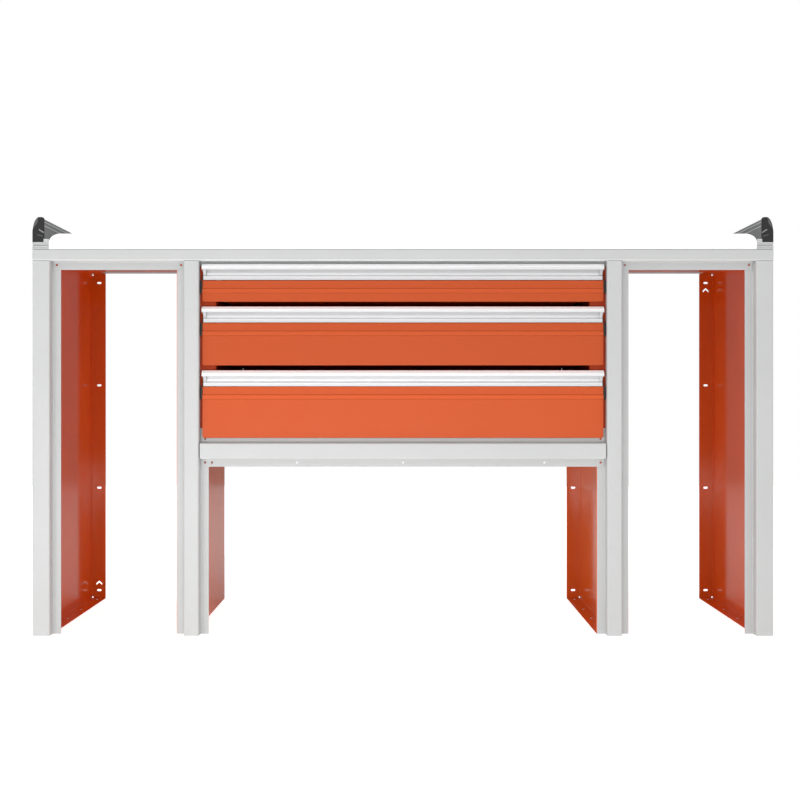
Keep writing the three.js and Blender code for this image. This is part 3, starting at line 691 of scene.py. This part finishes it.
def end_cap(place_name, side_name, front_or_back):
    """A moulded cap with a broad rounded shoulder that carries a painted highlight, a plug and two small
    moulded bars.
    """

    def to_world(inboard, height, depth):
        x = SIDES[side_name] * (END - inboard)
        y = front_or_back * (BACK - depth)
        return (x, y, height)

    shape = bmesh.new()
    outline = cap_outline()
    arrows = inward(outline)
    rings = [[shape.verts.new(to_world(a, b, CAP_PLATE)) for a, b, _ in outline]]
    edge_steps = 5
    for i in range(edge_steps + 1):
        angle = math.pi / 2 * i / edge_steps
        ring = []
        for (a, b, edge), arrow in zip(outline, arrows):
            inset = edge * (1 - math.cos(angle))
            depth = BAR_RISE + min(edge, 0.7 * CAP_PLATE) * (1 - math.sin(angle))
            ring.append(shape.verts.new(to_world(a + arrow.x * inset, b + arrow.y * inset, depth)))
        rings.append(ring)
    skin(shape, rings)
    # The painted highlight along the shoulder starts past the first rings of the round edge.
    rings_before_highlight = 3
    paint_shoulder_highlight(rings[rings_before_highlight:], outline)
    plug = [Vector(point[:2]) + arrow * CAP_PLUG_WALL for point, arrow in zip(outline, arrows)]
    plug_start = 0.9 * CAP_PLATE
    plug_rings = [
        [shape.verts.new(to_world(a, b, depth)) for a, b in plug] for depth in (plug_start, CAP_PLUG)
    ]
    skin(shape, plug_rings)
    node = f"end_cap_{place_name}_{side_name}"
    cap = add_piece(f"moulded_{node}", shape, "bench", "cap_plastic", 0.1 * MM, node)
    # The second material paints the highlight along the shoulder.
    cap.data.materials.append(MATERIALS["pale_plastic_and_painted_sheen"])
    for bar_name, bar, thickness, material in (
        ("high", HIGH_BAR, 2.2 * MM, "clip_plastic"),
        ("low", LOW_BAR, 2 * MM, "pale_plastic_and_painted_sheen"),
    ):
        bar_shape = bmesh.new()
        add_bar(bar_shape, *bar, thickness, to_world)
        add_piece(f"{bar_name}_bar_{node}", bar_shape, "bench", "cap_plastic", 0.1 * MM, material=material)


def rail_base(side_name):
    """The foot of an end rail, with grooves (bottom, top, depth) along its front and back."""
    node = f"end_rail_base_{side_name}"
    side = SIDES[side_name]
    base_low, base_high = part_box(node)
    inner, outer = sorted((base_low.x, base_high.x), key=abs)
    ledge_x = side * (END - CAP_WIDTH + CAP_FOOT_STEP - GAP)
    bottom = base_low.z
    ledge = bottom + BASE_LEDGE
    grooves = ((2.6 * MM, 3.4 * MM, 1.2 * MM), (6.6 * MM, 10 * MM, 3 * MM), (12.4 * MM, 13 * MM, 0.8 * MM))
    front = [(FRONT, ledge)]
    for start, stop, depth in reversed(grooves):
        front += [
            (FRONT, bottom + stop),
            (FRONT + depth, bottom + stop),
            (FRONT + depth, bottom + start),
            (FRONT, bottom + start),
        ]
    front.append((FRONT, bottom))
    back = [(-y, z) for y, z in reversed(front)]
    shape = bmesh.new()
    add_prism(shape, front + back, "x", inner, outer)
    lip_bottom = ledge - 0.5 * MM
    lip = [(FRONT, lip_bottom), (FRONT, base_high.z), (BACK, base_high.z), (BACK, lip_bottom)]
    add_prism(shape, lip, "x", inner, ledge_x)
    return add_piece(f"grooved_{node}", shape, "bench", "frame_paint", 0.2 * MM, node)


def build_ends():
    """The caps and the foot of both end rails."""
    for side_name in SIDES:
        end_cap("front", side_name, -1)
        end_cap("rear", side_name, 1)
        rail_base(side_name)


build_ends()


# ---------------------------------------------------------------- catches, stops and runner parts

# A catch: its height, its inner and outer faces from the middle of the bench, and its back plate.
CATCH_HEIGHT = 29 * MM
CATCH_INNER = 463.7 * MM
CATCH_OUTER = 469.1 * MM
CATCH_FRONT = FRONT + 8.5 * MM
CATCH_BODY_GAP = 1.6 * MM
CATCH_PLATE_WIDTH = 2.4 * MM
CATCH_PLATE_DEPTH = 3 * MM

# A lip stop: its front and back, its height over the drawer's sheet, and its way in from the end.
STOP_FRONT = FRONT + 8.8 * MM
STOP_BACK = FRONT + 14.4 * MM
STOP_FOOT = 0.3 * MM
STOP_TOP = 9.5 * MM
STOP_INNER = 2.3 * MM
STOP_OUTER = 0.1 * MM

# The pale plugs in a side panel's bottom flange, painted light where light shows through its holes.
PANEL_SHEET = 1.5 * MM
PANEL_WEB_TO_PLUGS = 20.75 * MM
PLUG_SHARES = (0.41, 0.65, 0.95)  # of the depth of the bench, from its front
PLUG_RADIUS = 3.2 * MM
PLUG_RISE = 0.9 * MM


def catch(drawer, side_name):
    """A black catch with a back plate, in the gap beside a drawer and level with the top of its front."""
    side = SIDES[side_name]
    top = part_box(f"{drawer}_front")[1].z
    bottom = top - CATCH_HEIGHT
    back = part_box(f"drawer_unit_wall_{side_name}")[0].y - GAP
    plate_front = back + GAP - CATCH_PLATE_DEPTH
    shape = bmesh.new()
    body = rounded_box((bottom, top - MM), (CATCH_FRONT, back), 1.2 * MM)
    body_outer = CATCH_OUTER - CATCH_BODY_GAP
    add_prism(shape, [(y, z) for z, y in body], "x", side * CATCH_INNER, side * body_outer)
    plate = rounded_box((bottom - MM, top), (plate_front, back), 0.8 * MM)
    plate_inner = CATCH_OUTER - CATCH_PLATE_WIDTH
    add_prism(shape, [(y, z) for z, y in plate], "x", side * plate_inner, side * CATCH_OUTER)
    return add_piece(f"{drawer}_catch_{side_name}", shape, "bench", "cap_plastic", 0.3 * MM)


def lip_stop(drawer, side_name):
    """The small black stop that closes the end of a handle's low lip."""
    side = SIDES[side_name]
    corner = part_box(f"{drawer}_front")[1]
    shape = bmesh.new()
    outline = rounded_box((STOP_FRONT, STOP_BACK), (corner.z + STOP_FOOT, corner.z + STOP_TOP), 0.6 * MM)
    add_prism(shape, outline, "x", side * (corner.x - STOP_INNER), side * (corner.x - STOP_OUTER))
    return add_piece(f"{drawer}_lip_stop_{side_name}", shape, drawer, "cap_plastic", 0.2 * MM)


def floor_plugs(place_name, side_name):
    """The small pale plugs in the holes of a side panel's bottom flange: painted light where light shows
    through the holes.
    """
    panel_low, panel_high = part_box(f"side_panel_{place_name}_{side_name}")
    if (place_name, side_name) == ("outer", "left"):
        x = panel_low.x + PANEL_WEB_TO_PLUGS
    else:
        x = panel_high.x - PANEL_WEB_TO_PLUGS
    shape = bmesh.new()
    for share in PLUG_SHARES:
        add_dome(shape, (x, FRONT + share * (BACK - FRONT), PANEL_SHEET), PLUG_RADIUS, PLUG_RISE)
    return add_piece(f"floor_plugs_{place_name}_{side_name}", shape, "bench", "handle_end_plastic", 0.1 * MM)


def ball_cage(drawer, side_name):
    """The pressed strips that hold the balls of one side's runner, above and below its middle rail."""
    side = SIDES[side_name]
    node = f"{drawer}_runner_middle_{side_name}"
    low_corner, high_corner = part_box(node)
    inner, outer = sorted((low_corner.x, high_corner.x), key=abs)
    middle_x = (inner + outer) / 2
    shape = bmesh.new()
    ball_count = 9
    ball_radius = 0.9 * MM
    strip_half = 2.2 * MM
    strip_thickness = 0.6 * MM
    strip_length = 120 * MM
    start_y = low_corner.y + 20 * MM
    gap_to_rail = 1.3 * MM
    for edge in (high_corner.z + gap_to_rail, low_corner.z - gap_to_rail):
        strip = rounded_box(
            (middle_x - strip_half, middle_x + strip_half),
            (edge - strip_thickness / 2, edge + strip_thickness / 2),
            0.2 * MM,
        )
        add_prism(shape, strip, "y", start_y, start_y + strip_length)
        for i in range(ball_count):
            y = start_y + strip_length * (i + 0.5) / ball_count
            add_ball(shape, (middle_x, y, edge), ball_radius)
    return add_piece(f"{drawer}_ball_cage_{side_name}", shape, f"{drawer}_runners", "runner_steel", 0.1 * MM)


def build_small_parts():
    """The small pieces of every drawer and every side panel."""
    for drawer in DRAWERS:
        for side_name in SIDES:
            catch(drawer, side_name)
            lip_stop(drawer, side_name)
            ball_cage(drawer, side_name)
    for place_name in ("outer", "inner"):
        for side_name in SIDES:
            floor_plugs(place_name, side_name)


build_small_parts()


# ---------------------------------------------------------------- studio

CAMERA_PLACE = (-0.0067, -2.645, 0.5428)
CAMERA_LENS = 47.25
FLOOR_DROP = 0.5 * MM


def studio_floor():
    """A pale floor that glows evenly for the camera, and lights the bench a little from the front."""
    size = 4.0
    seen_glow = 0.85
    front_glow = 0.5
    mesh = bpy.data.meshes.new("floor")
    corners = [(x, y, -FLOOR_DROP) for x, y in ((-size, -size), (size, -size), (size, size), (-size, size))]
    mesh.from_pydata(corners, [], [(0, 1, 2, 3)])
    floor = bpy.data.objects.new("floor", mesh)
    bpy.context.scene.collection.objects.link(floor)
    finish = Finish("floor_paint", 0.9, specular=0.1)
    clouds = finish.spread(finish.noise(1.5, detail=2), 0.3, 0.7, 0, 1)
    tone = finish.mix(clouds, (0.9, 0.9, 0.9), (0.92, 0.92, 0.92))
    finish.set("Base Color", tone)
    finish.set("Emission Color", tone)
    seen = finish.node("ShaderNodeLightPath").outputs["Is Camera Ray"]
    glow = finish.spread(finish.distance("Y"), -0.3, 0.2, front_glow, 0)
    shown = finish.node("ShaderNodeMix", data_type="FLOAT")
    finish.link(seen, shown.inputs["Factor"])
    finish.link(glow, shown.inputs["A"])
    shown.inputs["B"].default_value = seen_glow
    finish.set("Emission Strength", shown.outputs[0])
    mesh.materials.append(finish.material)


def studio_world():
    """White where the camera looks past the bench; elsewhere bright in front and dim behind."""
    front_light = 0.83
    back_light = 0.26
    world = bpy.data.worlds.new("studio")
    bpy.context.scene.world = world
    world.use_nodes = True
    nodes = world.node_tree.nodes
    links = world.node_tree.links
    nodes.clear()
    direction = nodes.new("ShaderNodeTexCoord")
    split = nodes.new("ShaderNodeSeparateXYZ")
    fade = nodes.new("ShaderNodeMapRange")
    fade.inputs["From Min"].default_value = -0.3
    fade.inputs["From Max"].default_value = 0.5
    fade.inputs["To Min"].default_value = front_light
    fade.inputs["To Max"].default_value = back_light
    links.new(direction.outputs["Generated"], split.inputs[0])
    links.new(split.outputs["Y"], fade.inputs["Value"])
    dim = nodes.new("ShaderNodeBackground")
    links.new(fade.outputs[0], dim.inputs["Strength"])
    white = nodes.new("ShaderNodeBackground")
    white.inputs["Strength"].default_value = 1.0
    for background in (dim, white):
        background.inputs["Color"].default_value = (1, 1, 1, 1)
    path = nodes.new("ShaderNodeLightPath")
    choose = nodes.new("ShaderNodeMixShader")
    links.new(path.outputs["Is Camera Ray"], choose.inputs[0])
    links.new(dim.outputs[0], choose.inputs[1])
    links.new(white.outputs[0], choose.inputs[2])
    output = nodes.new("ShaderNodeOutputWorld")
    links.new(choose.outputs[0], output.inputs[0])


def soft_light(name, place, target, size, power):
    """A large rectangular light that looks at the target and is not itself seen."""
    light = bpy.data.lights.new(name, "AREA")
    light.shape = "RECTANGLE"
    light.size, light.size_y = size
    light.energy = power
    lamp = bpy.data.objects.new(name, light)
    lamp.location = place
    aim = Vector(target) - Vector(place)
    lamp.rotation_euler = aim.to_track_quat("-Z", "Y").to_euler()
    lamp.visible_camera = False
    bpy.context.scene.collection.objects.link(lamp)


def studio_camera():
    """A level camera straight in front of the bench."""
    data = bpy.data.cameras.new("camera")
    data.lens = CAMERA_LENS
    camera = bpy.data.objects.new("camera", data)
    camera.location = CAMERA_PLACE
    camera.rotation_euler = (math.radians(90), 0, 0)
    bpy.context.scene.collection.objects.link(camera)
    bpy.context.scene.camera = camera


def build_studio():
    """The floor, the surroundings, five soft lights and the camera."""
    studio_floor()
    studio_world()
    soft_light("key_light", (-1.0, -2.4, 2.4), (0, 0, 0.7), (2.0, 1.4), 5)
    soft_light("low_light", (-0.4, -1.7, 0.14), (0, 0, 0.1), (2.2, 0.2), 11)
    soft_light("top_light", (0, 1.0, 3.0), (0, 0.1, 0.9), (3.0, 1.2), 14)
    soft_light("left_light", (-3.4, -1.9, 2.6), (-0.7, 0, 0.8), (1.2, 1.2), 16)
    soft_light("right_light", (3.4, -1.9, 2.6), (0.7, 0, 0.8), (1.2, 1.2), 9)
    studio_camera()
    bpy.context.scene.view_settings.view_transform = "Standard"


build_studio()
